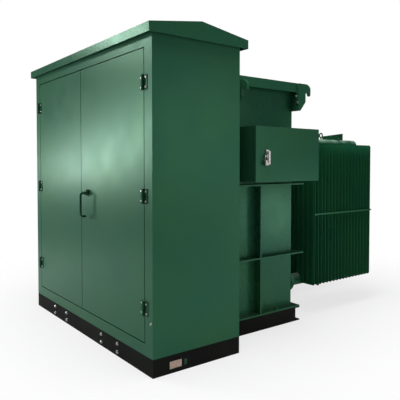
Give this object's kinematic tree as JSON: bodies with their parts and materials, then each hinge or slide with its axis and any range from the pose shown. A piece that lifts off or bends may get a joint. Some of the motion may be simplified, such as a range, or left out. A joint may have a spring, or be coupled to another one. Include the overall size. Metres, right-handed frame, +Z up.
{
  "type": "pad-mounted power transformer",
  "caption": "Pad-mounted power transformer: gabled terminal cabinet with double doors, oil tank with control box and lifting hooks, panel radiators behind.",
  "frame": {"origin": "on the floor, on the cabinet's left-right middle plane, under the middle of the front base channel's foot", "axes": "+Z up, +X to the right seen from the doors, +Y from the doors towards the radiators"},
  "size_m": [1.784, 2.2905, 1.905],
  "materials": {
    "cabinet_paint": "semi-gloss bottle green",
    "door_paint": "semi-gloss bottle green",
    "roof_paint": "semi-gloss bottle green",
    "tank_paint": "semi-gloss bottle green",
    "box_paint": "semi-gloss bottle green",
    "radiator_paint": "semi-gloss bottle green",
    "hinge_paint": "semi-gloss bottle green",
    "handle_paint": "dark green gloss",
    "black_paint": "satin black",
    "zinc_steel": "zinc plated",
    "padlock_steel": "worn steel",
    "plug_paint": "dark green gloss",
    "porcelain": "brown glaze",
    "terminal_brass": "turned",
    "terminal_copper": "drawn copper bar"
  },
  "bodies": {
    "housing": {"cabinet_base_frame": "black_paint", "cabinet_front_frame": "cabinet_paint", "cabinet_left_side": "cabinet_paint", "cabinet_rear_wall": "cabinet_paint", "cabinet_right_side": "cabinet_paint", "cabinet_roof": "roof_paint", "compartment_barrier": "cabinet_paint", "control_box": "box_paint", "control_box_hinges_box_part": "hinge_paint", "control_box_rails": "zinc_steel", "door_hinges_frame_part": "hinge_paint", "high_voltage_bushings": "porcelain", "high_voltage_studs": "terminal_brass", "low_voltage_insulators": "porcelain", "low_voltage_terminals": "terminal_copper", "radiator_headers_left": "radiator_paint", "radiator_headers_middle": "radiator_paint", "radiator_headers_right": "radiator_paint", "radiator_lifting_eyes": "radiator_paint", "radiator_lifting_lugs": "radiator_paint", "radiator_panels_left": "radiator_paint", "radiator_panels_middle": "radiator_paint", "radiator_panels_right": "radiator_paint", "radiator_plugs": "plug_paint", "radiator_tie_bars": "radiator_paint", "tank_base_frame": "black_paint", "tank_base_plate": "tank_paint", "tank_body": "tank_paint", "tank_cover": "tank_paint", "tank_front_hooks": "tank_paint", "tank_lower_band": "tank_paint", "tank_rear_hooks": "tank_paint", "tank_ribs": "tank_paint", "tank_top_flange": "tank_paint", "tank_upper_band": "tank_paint"},
    "right_door": {"right_door": "door_paint", "right_hinges_door_part": "hinge_paint", "door_handle_plate": "handle_paint"},
    "left_door": {"left_door": "door_paint", "left_hinges_door_part": "hinge_paint"},
    "door_handle": {"door_handle": "handle_paint"},
    "control_box_door": {"control_box_door": "box_paint", "control_box_hinges_door_part": "hinge_paint", "control_box_latch": "zinc_steel", "control_box_padlock": "padlock_steel"}
  },
  "joints": [
    {"name": "right_door_hinge", "type": "hinge", "parent": "housing", "child": "right_door", "pos_m": [0.7845, -0.034, 0.957], "axis": [0, 0, 1], "range_deg": [0, 115]},
    {"name": "left_door_hinge", "type": "hinge", "parent": "housing", "child": "left_door", "pos_m": [-0.7845, -0.034, 0.957], "axis": [0, 0, -1], "range_deg": [0, 115]},
    {"name": "door_handle_turn", "type": "hinge", "parent": "right_door", "child": "door_handle", "pos_m": [0.076, -0.024, 0.942], "axis": [0, -1, 0], "range_deg": [0, 90]},
    {"name": "control_box_door_hinge", "type": "hinge", "parent": "housing", "child": "control_box_door", "pos_m": [0.843, 1.299, 1.188], "axis": [0, 0, 1], "range_deg": [0, 110]}
  ]
}
